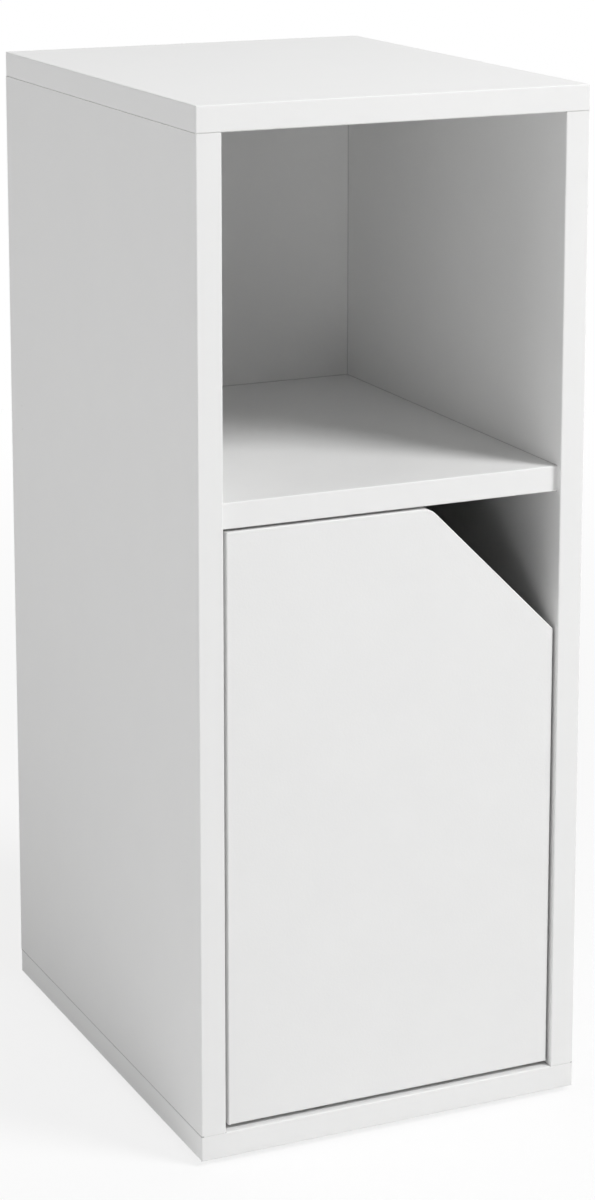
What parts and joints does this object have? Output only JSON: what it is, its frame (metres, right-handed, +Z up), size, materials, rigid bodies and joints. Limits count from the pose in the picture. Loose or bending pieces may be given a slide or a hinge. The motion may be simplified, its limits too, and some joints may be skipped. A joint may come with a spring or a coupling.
{
  "type": "narrow bathroom cabinet",
  "caption": "Narrow white floor-standing cabinet: an open compartment over an inset hinged door whose cut-off upper corner is the finger grip.",
  "frame": {"origin": "middle of the footprint, on the floor under the glides", "axes": "+X to the right seen from the front, +Y to the back, +Z up; the front faces -Y"},
  "size_m": [0.24, 0.3, 0.603],
  "materials": {
    "white_board": "particle board faced with white satin melamine, raw at the rear edges",
    "white_hardboard": "thin hardboard, painted white in front",
    "white_edging": "white satin plastic edging with rounded arrises",
    "dowel_wood": "plain beech",
    "zinc_screw": "bright zinc plating",
    "glide_plastic": "pale matt plastic",
    "hinge_steel": "nickel plated sheet steel",
    "pin_steel": "plain bright steel"
  },
  "bodies": {
    "cabinet": {"top_panel": "white_board", "bottom_panel": "white_board", "left_side": "white_board", "right_side": "white_board", "middle_shelf": "white_board", "back_panel": "white_hardboard", "top_front_edging": "white_edging", "top_left_edging": "white_edging", "top_right_edging": "white_edging", "bottom_front_edging": "white_edging", "bottom_left_edging": "white_edging", "bottom_right_edging": "white_edging", "left_front_edging": "white_edging", "right_front_edging": "white_edging", "shelf_front_edging": "white_edging", "top_dowels": "dowel_wood", "bottom_dowels": "dowel_wood", "shelf_dowels": "dowel_wood", "connecting_screws": "zinc_screw", "floor_glides": "glide_plastic", "upper_hinge_plate": "hinge_steel", "lower_hinge_plate": "hinge_steel", "upper_hinge_arm": "hinge_steel", "lower_hinge_arm": "hinge_steel", "upper_arm_pins": "pin_steel", "lower_arm_pins": "pin_steel", "plate_screws": "zinc_screw", "arm_screws": "zinc_screw"},
    "outer_links": {"upper_outer_links": "hinge_steel", "lower_outer_links": "hinge_steel"},
    "inner_links": {"upper_inner_link": "hinge_steel", "lower_inner_link": "hinge_steel"},
    "door": {"door_panel": "white_board", "door_left_edging": "white_edging", "door_bottom_edging": "white_edging", "door_right_edging": "white_edging", "door_grip_edging": "white_edging", "upper_hinge_cup": "hinge_steel", "lower_hinge_cup": "hinge_steel", "upper_cup_pins": "pin_steel", "lower_cup_pins": "pin_steel", "cup_screws": "zinc_screw"}
  },
  "joints": [
    {"name": "outer_link_swing", "type": "hinge", "parent": "cabinet", "child": "outer_links", "pos_m": [-0.06045, -0.12035, 0.194], "axis": [0, 0, 1], "range_deg": [0, 44.85]},
    {"name": "door_swing", "type": "hinge", "parent": "outer_links", "child": "door", "pos_m": [-0.092, -0.1319, 0.194], "axis": [0, 0, -1], "range_deg": [0, 139.84]},
    {"name": "inner_link_swing", "type": "hinge", "parent": "cabinet", "child": "inner_links", "pos_m": [-0.07325, -0.1339, 0.194], "axis": [0, 0, 1], "range_deg": [0, 67.65]}
  ],
  "couplings": [
    {"joint": "outer_link_swing", "follows": "door_swing", "ratio": 0.32065},
    {"joint": "inner_link_swing", "follows": "door_swing", "ratio": 0.4837}
  ]
}
